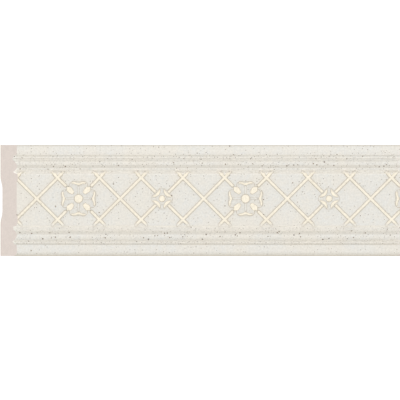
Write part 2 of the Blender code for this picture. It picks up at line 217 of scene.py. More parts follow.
class LatticeSizes(bpy.types.PropertyGroup):
    """The bars, their crossings on the middle line and their tips in the margins."""

    spacing: length("Node spacing", "From one crossing to the next", 0.0375)
    first_node: length("First node", "From the tip of the mitre to the first node", 0.0329)
    middle: length("Middle line", "Height of the crossings above the bottom edge", 0.0516)
    relief: length("Relief", "How far a bar stands over the field", 0.0010)
    crown_radius: length("Crown radius", "Radius of a bar's rounded crown", 0.0019)
    foot_radius: length("Foot radius", "Radius of the hollow at a bar's foot", 0.0009)
    flank: FloatProperty(name="Flank", description="Steepest slope of a bar's side",
                         default=math.radians(50), subtype="ANGLE")
    blunt: length("Blunt end", "Length of a bar's rounded end near a rosette", 0.0018)
    full_reach: length("Full reach", "Sideways reach at full height", 0.0220)
    tip_reach: length("Tip reach", "Sideways reach of the tip's crown", 0.0238)
    tip_relief: length("Tip relief", "Height of the tip's crown over the field", 0.00082)
    tip_fall: length("Tip fall", "Sideways reach of the tip's sloping end", 0.0010)
    tip_width: fraction("Tip width", "Width of a tip, as a share of the bar's", 0.80)


class LargeRosetteSizes(bpy.types.PropertyGroup):
    """Four notched petals, four sepals on the diagonals and a button."""

    bar_start: length("Bar start", "Where the bars begin, from the centre", 0.0147)
    ground: length("Ground", "Height of the petals over the field", 0.00064)
    dish: length("Dish", "How deep a petal is dished inside its rim", 0.00028)
    reach: length("Petal reach", "Centre to the crown of a lobe", 0.0161)
    notch: length("Petal notch", "Centre to the notch of a petal", 0.0157)
    lobe: length("Petal lobe", "Half distance between the crowns of a petal", 0.0044)
    half_width: length("Petal half width", "Half of a petal's width", 0.0085)
    shoulder: length("Petal shoulder", "Centre to the foot of a lobe", 0.0114)
    inner_corner: length("Inner corner", "Where two petals meet", 0.0084)
    lip_half_length: length("Lip half length", "Half of a rolled lip", 0.0070)
    lip_half_width: length("Lip half width", "Half width of a lip at its middle", 0.00180)
    lip_arm: length("Lip arm", "Half width of a lip's thin arms", 0.00148)
    lip_belly: length("Lip belly", "Reach of the thick middle of a lip", 0.0058)
    lip_edge: length("Lip edge", "Centre to the outer foot of a lip", 0.01490)
    lip_swell: length("Lip swell", "How far the lip's edge swells to the lobes", 0.00095)
    lip_droop: length("Lip droop", "How far the lip's ends draw in", 0.0011)
    lip_relief: length("Lip relief", "Height of a lip over the field", 0.0012)
    rib_inner: length("Rib inner", "Centre to the near end of a rib", 0.0038)
    rib_outer: length("Rib outer", "Centre to the far end of a rib", 0.0116)
    rib_half_width: length("Rib half width", "Half width of a rib", 0.00105)
    rib_relief: length("Rib relief", "Height of a rib over the field", 0.00070)
    sepal_inner: length("Sepal inner", "Centre to the near end of a sepal", 0.0060)
    sepal_widest: length("Sepal widest", "Centre to the corners of a sepal", 0.0123)
    sepal_outer: length("Sepal outer", "Centre to the point of a sepal", 0.0156)
    sepal_half_width: length("Sepal half width", "Half width at the corners", 0.0033)
    sepal_inner_width: length("Sepal inner width", "Half width at the near end", 0.0020)
    sepal_relief: length("Sepal relief", "Height of a sepal over the field", 0.0011)
    button_radius: length("Button radius", "Radius of the button", 0.0046)
    button_relief: length("Button relief", "Height of the button", 0.0017)


class SmallRosetteSizes(bpy.types.PropertyGroup):
    """An eight-sided ground, four lens-shaped lips, four leaves and a button."""

    bar_start: length("Bar start", "Where the bars begin, from the centre", 0.0069)
    ground: length("Ground", "Height of the ground over the field", 0.0005)
    dish: length("Dish", "How deep the ground is dished inside its rim", 0.00008)
    reach: length("Reach", "Centre to the short sides", 0.0098)
    flat: length("Flat", "Half of a short side", 0.0022)
    lens_outer: length("Lens outer", "Centre to the straight foot of a lens", 0.0078)
    lens_flare: length("Lens flare", "How far the foot draws out at the ends", 0.0003)
    lens_half_length: length("Lens half length", "Half of a lens", 0.0053)
    lens_half_width: length("Lens half width", "Half width at its middle", 0.00205)
    lens_end: length("Lens end", "Half width at its ends", 0.0008)
    lens_relief: length("Lens relief", "Height of a lens over the field", 0.0011)
    leaf_inner: length("Leaf inner", "Centre to the near end of a leaf", 0.0050)
    leaf_outer: length("Leaf outer", "Centre to the far end of a leaf", 0.0094)
    leaf_half_width: length("Leaf half width", "Half width of a leaf", 0.0012)
    leaf_relief: length("Leaf relief", "Height of a leaf over the field", 0.00062)
    button_radius: length("Button radius", "Radius of the button", 0.0035)
    button_relief: length("Button relief", "Height of the button", 0.0015)


class CarvingSizes(bpy.types.PropertyGroup):
    """Roundings that the raised parts of both rosettes share."""

    crown_radius: length("Crown radius", "Radius where a side meets the top", 0.00025)
    foot_radius: length("Foot radius", "Radius where a side meets the ground", 0.00030)
    skirt_radius: length("Skirt radius", "Radius where a ground meets the field", 0.00055)
    flank: FloatProperty(name="Flank", description="Steepest slope of a side",
                         default=math.radians(58), subtype="ANGLE")
    end_length: length("End length", "Length of a rounded end", 0.0009)
    rim: length("Rim", "Width of the level rim of a dished ground", 0.00045)
    rim_fall: length("Rim fall", "Width of the slope inside the rim", 0.00060)
    dome: length("Dome", "Rise of a button's domed top", 0.00025)


class FinishSettings(bpy.types.PropertyGroup):
    """Colours of the coat, the bare foam and the floor, the painted light and shade, and how
    strong each wash and painted shade is.
    """

    film: colour("Film", "The coat of the field and the bands", (0.706, 0.698, 0.664))
    film_warm: colour("Warm film", "Warmer clouds of the coat", (0.732, 0.698, 0.632))
    # Painted light: the paler coat laid where slopes, margins and grooves would look too
    # shaded.
    pale: colour("Painted light film", "Paler coat painted on plain slopes, margins and grooves to lift their shade",
                 (0.880, 0.850, 0.790))
    cream: colour("Cream", "The crowns of the ornament", (0.852, 0.784, 0.652))
    # Partly the ornament's own brown wash, partly painted shade on its sides and at its foot,
    # and painted shade under the lower arris.
    brown_wash_and_shade: colour("Brown wash and shade", "Wash and painted shade on the ornament's sides and foot, painted shade under the lower arris", (0.500, 0.430, 0.320))
    # Painted shade: the grey laid in the grooves, on the arrises and in the dishes.
    grey_painted_shade: colour("Grey painted shade", "Painted shade in the grooves, on the arrises and in the dishes", (0.600, 0.565, 0.500))
    speck: colour("Speck", "Dark specks in the coat", (0.110, 0.070, 0.045))
    foam: colour("Foam", "Bare foam of the back and the cut ends", (0.660, 0.588, 0.540))
    floor: colour("Floor", "The floor under the moulding", (0.900, 0.900, 0.890))
    # Painted shade on the rounded outer arrises.
    arris_shade: fraction("Arris shade", "Grey painted shade on the outer arrises", 0.85)
    # Painted shade under the lower arris.
    under_shade: fraction("Under shade", "Painted brown shade under the lower arris", 0.65)
    # Partly the ornament's own brown wash, partly painted shade in the crease at its foot.
    wash_and_shade_at_foot: fraction("Foot wash and shade", "Brown wash and shade at the ornament's foot", 0.46)
    tip_wash_and_shade_at_foot: fraction("Tip foot wash and shade", "The same on the bars' tips", 0.30)
    # Painted shade in the hollow of the rosettes' dishes.
    dish_shade: fraction("Dish shade", "Grey painted shade in the rosettes' dishes", 0.12)
    # Partly the ornament's own brown wash, partly painted shade that darkens its sloping
    # sides.
    wash_and_shade_on_sides: fraction("Side wash and shade", "Brown wash and shade on the ornament's sides", 0.80)
    tip_wash_and_shade_on_sides: fraction("Tip side wash and shade", "The same on the bars' tips", 0.50)
    low_tip_cream: fraction("Low tip cream", "Cream that the lowest tips keep", 0.30)
    coat_roughness: fraction("Coat roughness", "Roughness of the coat", 0.76)
    crown_roughness: fraction("Crown roughness", "Roughness of the cream crowns", 0.62)
    foam_roughness: fraction("Foam roughness", "Roughness of the bare foam", 0.90)
    floor_roughness: fraction("Floor roughness", "Roughness of the floor", 0.80)
    specular: fraction("Specular", "How strongly every surface mirrors light", 0.25)


class StageSettings(bpy.types.PropertyGroup):
    """The floor, the soft light and a camera with a lens so long that it looks straight."""

    floor_size: length("Floor size", "Side of the square floor", 3.6)
    floor_drop: length("Floor drop", "From the camera's aim down to the floor", 0.30)
    world_strength: FloatProperty(name="World strength", default=1.15, min=0.0,
                                  description="Strength of the even light from all round")
    key_power: FloatProperty(name="Key power", default=2.5, min=0.0, unit="POWER",
                             description="Power of the soft light in front")
    key_size: length("Key size", "Side of the soft light in front", 1.6)
    key_place: FloatVectorProperty(name="Key place", default=(-0.10, -1.9, -0.05),
                                   description="Centre of the soft light in front",
                                   subtype="TRANSLATION", size=3)
    lens: FloatProperty(name="Lens", description="Focal length of the camera",
                        default=1400.0, min=1.0, unit="CAMERA")
    sensor_width: FloatProperty(name="Sensor width", description="Width of its sensor",
                                default=36.0, min=1.0, unit="CAMERA")
    frame_width: length("Frame width", "Width of the picture at the face", 0.3593)
    face_depth: length("Face depth", "Wall to the plane with that width", 0.0150)
    aim_along: length("Aim along", "Middle of the picture, from the origin", -0.0005)
    aim_height: length("Aim height", "Middle of the picture above the origin", 0.0359)


def deselect_all():
    bpy.ops.object.select_all(action="DESELECT")


def select_only(*pieces):
    deselect_all()
    for piece in pieces:
        piece.select_set(True)
    bpy.context.view_layer.objects.active = pieces[0]


@contextmanager
def editing(piece):
    """Edit mode on one piece, with everything in it selected."""
    select_only(piece)
    bpy.ops.object.mode_set(mode="EDIT")
    bpy.ops.mesh.select_all(action="SELECT")
    yield piece
    bpy.ops.object.mode_set(mode="OBJECT")


def face_outwards(piece):
    with editing(piece):
        bpy.ops.mesh.normals_make_consistent(inside=False)


def apply_modifier(piece, kind, **settings):
    select_only(piece)
    modifier = piece.modifiers.new(kind.title(), kind)
    for name, value in settings.items():
        setattr(modifier, name, value)
    bpy.ops.object.modifier_apply(modifier=modifier.name)


def in_collection(name, pieces):
    """Move the pieces into a collection of their own."""
    collection = bpy.data.collections.new(name)
    bpy.context.scene.collection.children.link(collection)
    for piece in pieces:
        for owner in list(piece.users_collection):
            owner.objects.unlink(piece)
        collection.objects.link(piece)
    return collection


def unite(body, others, label):
    """Join the other closed pieces to the body with a Boolean and remove them."""
    before = len(body.data.vertices)
    collection = in_collection(label, others)
    apply_modifier(body, "BOOLEAN", operation="UNION", solver="MANIFOLD",
                   operand_type="COLLECTION", collection=collection)
    if len(body.data.vertices) <= before:
        raise RuntimeError(f"{label}: the union changed nothing")
    for piece in others:
        bpy.data.objects.remove(piece, do_unlink=True)
    bpy.data.collections.remove(collection)


def copied(piece, turn, centre):
    """A copy with its own mesh, turned about -Y and moved from the origin to the centre."""
    select_only(piece)
    bpy.ops.object.duplicate()
    twin = bpy.context.active_object
    bpy.ops.transform.rotate(value=turn, orient_axis="Y", orient_type="GLOBAL",
                             center_override=(0.0, 0.0, 0.0))
    bpy.ops.transform.translate(value=(centre.x, 0.0, centre.z))
    bpy.ops.object.transform_apply(location=True, rotation=True, scale=True)
    return twin


def eased(start, end, steps=12):
    """Points of an S-shaped slope after start, up to and with end."""
    points = []
    for step in range(1, steps + 1):
        share = step / steps
        blend = (1 - math.cos(math.pi * share)) / 2
        points.append((start[0] + (end[0] - start[0]) * blend,
                       start[1] + (end[1] - start[1]) * share))
    return points


def rounded_corner(centre, radius, start_angle, end_angle, steps=6):
    points = []
    for step in range(steps + 1):
        angle = start_angle + (end_angle - start_angle) * step / steps
        points.append((centre[0] + radius * math.cos(angle),
                       centre[1] + radius * math.sin(angle)))
    return points


def half_bead(run, foot_depth, foot, crown, steps=16):
    """Points of a full rounded side that climbs from its foot to the bead's crown."""
    points = []
    for step in range(steps + 1):
        share = step / steps
        swell = math.sin(math.pi / 2 * share) ** run.bead_fullness
        points.append((foot_depth + (run.bead_depth - foot_depth) * swell,
                       foot + (crown - foot) * share))
    return points


def face_outline(run):
    """The front of the section as (depth, height) points, from the bottom edge up."""
    outline = rounded_corner((run.band_depth - run.bottom_round, run.bottom_round),
                             run.bottom_round, -math.pi / 2, 0.0)
    outline += [(run.band_depth - run.band_camber, run.bottom_band),
                (run.fillet_depth, run.bottom_fillet_low),
                (run.fillet_depth, run.bottom_fillet_high),
                (run.quirk_depth, run.bottom_fillet_high + run.quirk_step)]
    outline += half_bead(run, run.bead_foot_depth, run.bottom_bead_low,
                         run.bottom_bead_crown)
    outline += half_bead(run, run.bottom_margin_depth, run.bottom_bead_high,
                         run.bottom_bead_crown)[-2::-1]
    outline.append((run.bottom_margin_depth, run.field_edge_low))
    outline += eased(outline[-1], (run.field_depth, run.field_low))
    outline.append((run.field_depth, run.field_high))
    outline += eased(outline[-1], (run.top_margin_depth, run.field_edge_high))
    outline += half_bead(run, run.top_margin_depth, run.top_bead_low, run.top_bead_crown)
    outline += half_bead(run, run.bead_foot_depth, run.top_bead_high,
                         run.top_bead_crown)[-2::-1]
    outline += [(run.quirk_depth, run.top_fillet_low - run.quirk_step),
                (run.fillet_depth, run.top_fillet_low),
                (run.fillet_depth, run.top_fillet_high),
                (run.band_depth - run.band_camber, run.top_band)]
    outline += rounded_corner((run.band_depth - run.top_round, run.high - run.top_round),
                              run.top_round, 0.0, math.pi / 2)
    return outline


def back_outline(run):
    """The back of the section with its shallow hollow, from the top edge down."""
    outline = [(0.0, run.high), (0.0, run.hollow_high)]
    outline += eased(outline[-1], (run.hollow_depth, run.hollow_high - run.hollow_flank))
    outline.append((run.hollow_depth, run.hollow_low + run.hollow_flank))
    outline += eased(outline[-1], (0.0, run.hollow_low))
    outline.append((0.0, 0.0))
    return outline


def depth_on(outline, height):
    """Depth of an outline of the face at a height above the bottom edge."""
    for (depth_a, height_a), (depth_b, height_b) in zip(outline, outline[1:]):
        if height_a <= height <= height_b and height_b > height_a:
            share = (height - height_a) / (height_b - height_a)
            return depth_a + (depth_b - depth_a) * share
    return outline[0][0] if height < outline[0][1] else outline[-1][0]


def swept_run(run):
    """Extrude one long edge round the section, strip by strip, and close the ends."""
    points = face_outline(run) + back_outline(run)
    path = [Vector((0.0, -depth, height + CAD_LOW.z)) for depth, height in points]
    first = path[0]
    deselect_all()
    middle = (0.0, first.y / 2, first.z)
    bpy.ops.mesh.primitive_plane_add(size=1.0, location=middle)
    body = bpy.context.active_object
    body.name = "wall_moulding"
    bpy.ops.transform.resize(value=(run.long + 2 * SPARE_END, -first.y, 1.0),
                             center_override=middle)
    bpy.ops.object.transform_apply(location=True, rotation=True, scale=True)
    with editing(body):
        bpy.ops.mesh.select_mode(type="EDGE")
        mesh = bmesh.from_edit_mesh(body.data)
        for edge in mesh.edges:
            edge.select_set(all(abs(vert.co.y - first.y) < WELD for vert in edge.verts))
        mesh.select_flush(False)
        bmesh.update_edit_mesh(body.data)
        for here, there in zip(path, path[1:]):
            bpy.ops.mesh.extrude_edges_move(
                TRANSFORM_OT_translate={"value": there - here})
        bpy.ops.mesh.select_all(action="SELECT")
        bpy.ops.mesh.remove_doubles(threshold=WELD)
        bpy.ops.mesh.fill_holes(sides=0)
        bpy.ops.mesh.normals_make_consistent(inside=False)
    apply_modifier(body, "BEVEL", width=run.softening, segments=2, limit_method="ANGLE",
                   angle_limit=SOFTENED_ANGLE, use_clamp_overlap=True)
    return body


def side_profile(height, crown_radius, foot_radius, flank, steps=4):
    """How a moulded side climbs: (inset from the foot, rise) from the foot to the top."""
    fall = 1 - math.cos(flank)
    shrink = min(1.0, height / ((crown_radius + foot_radius) * fall))
    crown_radius *= shrink
    foot_radius *= shrink
    straight = height - (crown_radius + foot_radius) * fall
    points = []
    for step in range(1, steps + 1):
        angle = flank * step / steps
        points.append((foot_radius * math.sin(angle),
                       foot_radius * (1 - math.cos(angle))))
    inset, rise = points[-1]
    inset += straight / math.tan(flank)
    rise += straight
    first = 0 if straight > WELD else 1
    for step in range(first, steps + 1):
        angle = flank * (1 - step / steps)
        points.append((inset + crown_radius * (math.sin(flank) - math.sin(angle)),
                       height - crown_radius * (1 - math.cos(angle))))
    return points


def rise_at(profile, inset):
    """Height of a side profile at an inset, level past its top."""
    for (inset_a, rise_a), (inset_b, rise_b) in zip(profile, profile[1:]):
        if inset <= inset_a:
            return rise_a
        if inset <= inset_b and inset_b > inset_a:
            return rise_a + (rise_b - rise_a) * (inset - inset_a) / (inset_b - inset_a)
    return profile[-1][1]


def ridge_ring(field_depth, along, offset, half_width, foot, crown, profile):
    """One section of a ridge: over the crown from foot to foot, closed under the field."""
    run = profile[-1][0]
    height = profile[-1][1]
    narrowed = min(1.0, (half_width - CREST) / run)
    lift = crown / height
    side = [(half_width - inset * narrowed, foot + rise * lift - FOOT_SINK)
            for inset, rise in profile]
    over = side + [(-across, up) for across, up in reversed(side)]
    root = foot - ROOT_DEPTH
    over = [(half_width, root)] + over + [(-half_width, root)]
    return [Vector((along, -(field_depth + up), offset + across)) for across, up in over]


def extruded_rings(name, rings):
    """A filled circle extruded once for each ring, its corners then set on the rings."""
    corners = len(rings[0])
    stride = 1.0
    deselect_all()
    bpy.ops.mesh.primitive_circle_add(vertices=corners, radius=1.0, fill_type="NGON")
    piece = bpy.context.active_object
    piece.name = name
    with editing(piece):
        for _ in rings[1:]:
            bpy.ops.mesh.extrude_region_move(
                TRANSFORM_OT_translate={"value": (0.0, 0.0, stride)})
    for vertex in piece.data.vertices:
        ring = round(vertex.co.z / stride)
        turn = math.atan2(vertex.co.x, vertex.co.y) / (2 * math.pi)
        vertex.co = rings[ring][round(turn * corners) % corners]
    face_outwards(piece)
    return piece


def ridge(name, field_depth, stations, profile):
    """A rounded ridge along X through stations (along, offset, half width, foot, crown)."""
    rings = [ridge_ring(field_depth, *station, profile) for station in stations]
    return extruded_rings(name, rings)


def spaced(start, end, side, steps):
    """Places from start to end, closer together in the sides of both ends."""
    near = [start + side * share for share in (0.0, 0.12, 0.3, 0.5, 0.7, 0.85)]
    far = [end - (place - start) for place in reversed(near)]
    middle = [start + side + (end - start - 2 * side) * step / steps
              for step in range(steps + 1)]
    return near + middle + far


def end_rise(profile, along, start, end):
    """Share of the full height that a ridge has near its ends."""
    share = rise_at(profile, min(along - start, end - along)) / profile[-1][1]
    return max(LEAST_RISE, share)


def end_round(distance, radius):
    """Share of the full width at a distance from a rounded end."""
    from_full = 1 - min(1.0, max(0.0, distance / radius))
    return math.sqrt(max(LEAST_WIDTH, 1 - from_full ** 2))


def carved_profile(carving, relief, skirted=False):
    foot_radius = carving.skirt_radius if skirted else carving.foot_radius
    return side_profile(relief, carving.crown_radius, foot_radius, carving.flank)


def raised_plate(name, outline, field_depth, steps):
    """A filled outline raised from its root and inset step by step, each (inset, rise)."""
    deselect_all()
    bpy.ops.mesh.primitive_circle_add(vertices=len(outline), radius=1.0, fill_type="NGON")
    piece = bpy.context.active_object
    piece.name = name
    for vertex in piece.data.vertices:
        turn = math.atan2(vertex.co.x, vertex.co.y) / (2 * math.pi)
        across, up = outline[round(turn * len(outline)) % len(outline)]
        vertex.co = (across, -(field_depth - ROOT_DEPTH), up)
    with editing(piece):
        bpy.ops.mesh.extrude_region_move(
            TRANSFORM_OT_translate={"value": (0.0, FOOT_SINK - ROOT_DEPTH, 0.0)})
    face_outwards(piece)
    with editing(piece):
        bpy.ops.mesh.select_mode(type="FACE")
        mesh = bmesh.from_edit_mesh(piece.data)
        front = min(mesh.faces, key=lambda face: face.calc_center_median().y)
        for face in mesh.faces:
            face.select_set(face is front)
        bmesh.update_edit_mesh(piece.data)
        inset = 0.0
        rise = 0.0
        for next_inset, next_rise in steps:
            bpy.ops.mesh.inset(thickness=next_inset - inset, depth=next_rise - rise,
                               use_even_offset=True, use_relative_offset=False)
            inset = next_inset
            rise = next_rise
    return piece


def dished(carving, relief, dish):
    """A plate's side, its level rim and the shallow dish inside it."""
    profile = carved_profile(carving, relief, skirted=True)
    inset, rise = profile[-1]
    inset += carving.rim
    profile.append((inset, rise))
    for share in (0.3, 0.7, 1.0):
        fall = (1 - math.cos(math.pi * share)) / 2
        profile.append((inset + carving.rim_fall * share, rise - dish * fall))
    return profile


def button(rosette, carving, field_depth):
    """A round boss: steep at the side and gently domed on top."""
    radius = rosette.button_radius
    steps = carved_profile(carving, rosette.button_relief - carving.dome)
    inset, rise = steps[-1]
    for share in (0.25, 0.5, 0.75, 0.92):
        steps.append((inset + (radius - inset) * share,
                      rise + carving.dome * math.sin(math.pi / 2 * share)))
    turns = [2 * math.pi * step / CIRCLE_CORNERS for step in range(CIRCLE_CORNERS)]
    outline = [(radius * math.sin(turn), radius * math.cos(turn)) for turn in turns]
    return raised_plate("button", outline, field_depth, steps)


def petal_outline(rosette):
    """Four notched petals that meet on the diagonals, clockwise from the top."""
    radius = rosette.half_width - rosette.lobe
    half = []
    for step in range(5):
        share = step / 5
        blend = (1 - math.cos(math.pi * share)) / 2
        half.append((rosette.lobe * share,
                     rosette.notch + (rosette.reach - rosette.notch) * blend))
    half += rounded_corner((rosette.lobe, rosette.reach - radius), radius, math.pi / 2,
                           0.0, steps=7)
    half.append((rosette.half_width, rosette.shoulder))
    left = [(-across, up) for across, up in reversed(half[1:])]
    petal = left + half + [(rosette.inner_corner, rosette.inner_corner)]
    outline = []
    for quarter in range(4):
        cosine = round(math.cos(quarter * math.pi / 2))
        sine = round(math.sin(quarter * math.pi / 2))
        outline += [(across * cosine + up * sine, up * cosine - across * sine)
                    for across, up in petal]
    return outline


def lip(rosette, carving, field_depth):
    """The rolled lip of the top petal: a thick middle and two thin arms along the rim."""
    profile = carved_profile(carving, rosette.lip_relief)
    reach = rosette.lip_half_length
    stations = []
    for along in spaced(-reach, reach, carving.end_length, 22):
        share = abs(along) / reach
        belly = (1 + math.cos(math.pi * min(1.0, abs(along) / rosette.lip_belly))) / 2
        half_width = rosette.lip_arm + (rosette.lip_half_width - rosette.lip_arm) * belly
        half_width *= end_round(reach - abs(along), 2 * carving.end_length)
        edge = rosette.lip_edge + rosette.lip_swell * (1 - belly ** 2)
        edge -= rosette.lip_droop * share ** 6
        crown = rosette.lip_relief * end_rise(profile, along, -reach, reach)
        stations.append((along, edge - half_width, half_width, 0.0, crown))
    return ridge("lip", field_depth, stations, profile)


def rib(name, inner, outer, half_width, relief, floor, carving, field_depth):
    """A thin rib on a dished floor that points at the rosette's centre, drawn along X."""
    profile = carved_profile(carving, relief - floor)
    stations = []
    for along in spaced(inner, outer, carving.end_length, 6):
        crown = (relief - floor) * end_rise(profile, along, inner, outer)
        stations.append((along, 0.0, half_width, floor, crown))
    return ridge(name, field_depth, stations, profile)


def sepal(rosette, carving, field_depth):
    """A sepal along X: narrow and round inside, with a right-angled point outside."""
    profile = carved_profile(carving, rosette.sepal_relief)
    inner = rosette.sepal_inner
    outer = rosette.sepal_outer
    widest = rosette.sepal_widest
    near_width = rosette.sepal_inner_width
    stations = []
    for along in spaced(inner, outer, carving.end_length, 18):
        if along < widest:
            share = (along - inner) / (widest - inner)
            share *= 1.5 - 0.5 * share
            half_width = near_width + (rosette.sepal_half_width - near_width) * share
            half_width *= end_round(along - inner, near_width)
        else:
            share = (along - widest) / (outer - widest)
            half_width = rosette.sepal_half_width * max(LEAST_WIDTH, 1 - share)
        crown = rosette.sepal_relief * end_rise(profile, along, inner, outer)
        stations.append((along, 0.0, half_width, 0.0, crown))
    return ridge("sepal", field_depth, stations, profile)


def lens(rosette, carving, field_depth):
    """A lip of the small rosette: straight outside, bowed towards the centre."""
    profile = carved_profile(carving, rosette.lens_relief)
    reach = rosette.lens_half_length
    stations = []
    for along in spaced(-reach, reach, carving.end_length, 14):
        swell = math.cos(math.pi / 2 * along / reach)
        half_width = rosette.lens_end + (rosette.lens_half_width - rosette.lens_end) * swell
        half_width *= end_round(reach - abs(along), carving.end_length)
        outer = rosette.lens_outer + rosette.lens_flare * (1 - swell)
        crown = rosette.lens_relief * end_rise(profile, along, -reach, reach)
        stations.append((along, outer - half_width, half_width, 0.0, crown))
    return ridge("lens", field_depth, stations, profile)


def bar_profile(lattice):
    """How the side of a bar climbs from its foot to its crown."""
    return side_profile(lattice.relief, lattice.crown_radius, lattice.foot_radius,
                        lattice.flank)


def tip_stations(lattice, run, rising):
    """The outer part of a bar: its crown runs out level and narrows, then falls away."""
    outline = face_outline(run)
    full_width = bar_profile(lattice)[-1][0]
    reaches = [(lattice.full_reach + (lattice.tip_reach - lattice.full_reach) * share,
                share, 0.0) for share in (0.0, 0.2, 0.4, 0.6, 0.75, 0.9, 1.0)]
    reaches += [(lattice.tip_reach + lattice.tip_fall * fall, 1.0, fall)
                for fall in (0.3, 0.6, 0.85, 1.0)]
    stations = []
    for reach, share, fall in reaches:
        height = lattice.middle + (reach if rising else -reach)
        foot = depth_on(outline, height) - run.field_depth
        top = lattice.relief + (lattice.tip_relief - lattice.relief) * share ** 2
        crown = (top - foot) * (1 - fall ** 2)
        half_width = full_width * (1 - (1 - lattice.tip_width) * share)
        half_width *= end_round(1 - fall, 1.0)
        stations.append((reach * math.sqrt(2), 0.0, half_width, foot,
                         max(LEAST_CROWN, crown)))
    return stations


def bar(name, lattice, run, start=None, rising=True):
    """A bar along X, from tip to tip or from a blunt start near a rosette to its tip.

    Its far tip fits the upper margin where it is rising, and the lower one where not.
    """
    ahead = tip_stations(lattice, run, rising)
    profile = bar_profile(lattice)
    if start is None:
        behind = [(-station[0], *station[1:]) for station in
                  reversed(tip_stations(lattice, run, not rising))]
        return ridge(name, run.field_depth, behind + ahead, profile)
    full_width, full_rise = profile[-1]
    blunt = []
    for share in (0.0, 0.08, 0.2, 0.35, 0.5, 0.7, 1.0):
        crown = max(0.05 * full_rise, rise_at(profile, full_width * share))
        blunt.append((start + lattice.blunt * share, 0.0,
                      full_width * end_round(share, 1.0), 0.0, crown))
    return ridge(name, run.field_depth, blunt + ahead, profile)


def node_centre(lattice, index):
    x = CAD_LOW.x + lattice.first_node + index * lattice.spacing
    return Vector((x, 0.0, CAD_LOW.z + lattice.middle))


def nodes_of_kind(*places):
    """Numbers of the nodes that stand at these places of the repeat."""
    return [index for index in range(FIRST_NODE, LAST_NODE + 1)
            if index % NODES_IN_REPEAT in places]


def rosette_from(ground, single, patterns):
    """Join a rosette: its ground, one centre piece and four turned copies of each pattern."""
    parts = [single]
    for piece, first_turn in patterns:
        for quarter in range(4):
            parts.append(copied(piece, first_turn + quarter * math.pi / 2, Vector()))
        bpy.data.objects.remove(piece, do_unlink=True)
    unite(ground, parts, f"{ground.name} parts")
    return ground


def set_at_nodes(rosette, lattice, place):
    """Put a copy of the rosette at each node of its place in the repeat."""
    for index in nodes_of_kind(place):
        keep_as_ornament(copied(rosette, 0.0, node_centre(lattice, index)))
    bpy.data.objects.remove(rosette, do_unlink=True)


def raised_pieces():
    """The bars and rosettes that wait to be joined to the run."""
    return [piece for piece in bpy.context.scene.objects if piece.get("ornament")]


def keep_as_ornament(piece):
    piece["ornament"] = True


class MOULDING_OT_run(bpy.types.Operator):
    """Add the plain run, longer than the moulding at both ends"""

    bl_idname = "moulding.run"
    bl_label = "Add Plain Run"
    bl_options = {"REGISTER", "UNDO"}

    def execute(self, context):
        swept_run(context.scene.moulding_run)
        return {"FINISHED"}


class MOULDING_OT_lattice(bpy.types.Operator):
    """Add the crossed bars of every node"""

    bl_idname = "moulding.lattice"
    bl_label = "Add Lattice Bars"
    bl_options = {"REGISTER", "UNDO"}

    def execute(self, context):
        scene = context.scene
        lattice = scene.moulding_lattice
        run = scene.moulding_run
        rising_bar = bar("rising_bar", lattice, run)
        falling_bar = bar("falling_bar", lattice, run, rising=False)
        starts = {LARGE_PLACE: scene.moulding_large.bar_start,
                  SMALL_PLACE: scene.moulding_small.bar_start}
        high_arms = {place: bar("high_arm", lattice, run, start)
                     for place, start in starts.items()}
        low_arms = {place: bar("low_arm", lattice, run, start, rising=False)
                    for place, start in starts.items()}
        quarter = math.pi / 2
        for index in nodes_of_kind(*CROSSING_PLACES):
            centre = node_centre(lattice, index)
            keep_as_ornament(copied(rising_bar, quarter / 2, centre))
            keep_as_ornament(copied(falling_bar, -quarter / 2, centre))
        for place in starts:
            for index in nodes_of_kind(place):
                for turn in range(4):
                    angle = quarter / 2 + quarter * turn
                    arms = high_arms if math.sin(angle) > 0 else low_arms
                    keep_as_ornament(copied(arms[place], angle,
                                            node_centre(lattice, index)))
        for pattern in (rising_bar, falling_bar, *high_arms.values(), *low_arms.values()):
            bpy.data.objects.remove(pattern, do_unlink=True)
        return {"FINISHED"}


class MOULDING_OT_large_rosettes(bpy.types.Operator):
    """Add the large rosettes: petals with rolled lips, ribs, sepals and a button"""

    bl_idname = "moulding.large_rosettes"
    bl_label = "Add Large Rosettes"
    bl_options = {"REGISTER", "UNDO"}

    def execute(self, context):
        scene = context.scene
        rosette = scene.moulding_large
        carving = scene.moulding_carving
        depth = scene.moulding_run.field_depth
        ground = raised_plate("large_rosette", petal_outline(rosette), depth,
                              dished(carving, rosette.ground, rosette.dish))
        middle_rib = rib("rib", rosette.rib_inner, rosette.rib_outer,
                         rosette.rib_half_width, rosette.rib_relief,
                         rosette.ground - rosette.dish, carving, depth)
        rosette_from(ground, button(rosette, carving, depth),
                     ((lip(rosette, carving, depth), 0.0), (middle_rib, 0.0),
                      (sepal(rosette, carving, depth), math.pi / 4)))
        set_at_nodes(ground, scene.moulding_lattice, LARGE_PLACE)
        return {"FINISHED"}


